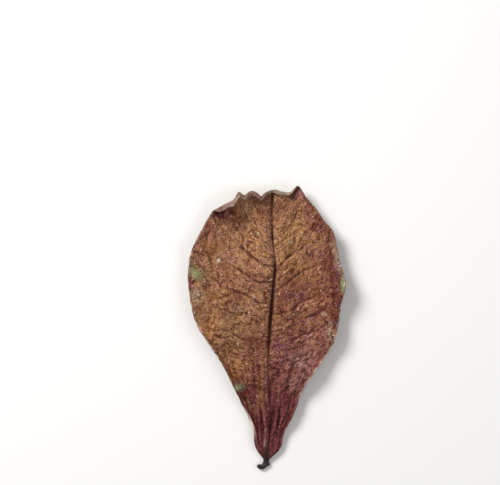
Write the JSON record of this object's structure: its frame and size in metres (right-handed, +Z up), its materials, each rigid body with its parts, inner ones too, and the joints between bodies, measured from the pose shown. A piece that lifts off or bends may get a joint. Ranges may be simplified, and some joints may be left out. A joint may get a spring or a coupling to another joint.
{
  "type": "dried indian almond leaf",
  "caption": "Dried, curled broad leaf with sunken midrib and side veins, waved turned-up margins, a rolled tip and a short hooked stalk, lying upper side up.",
  "frame": {"origin": "on the surface that the leaf lies on, under the middle of its box", "axes": "+Y along the midrib from the stalk to the tip, +Z up out of the upper face, +X towards the right margin"},
  "size_m": [0.1168, 0.2102, 0.0172],
  "materials": {
    "dried_leaf": "matte"
  },
  "bodies": {
    "root": {"leaf": "dried_leaf"}
  },
  "joints": []
}
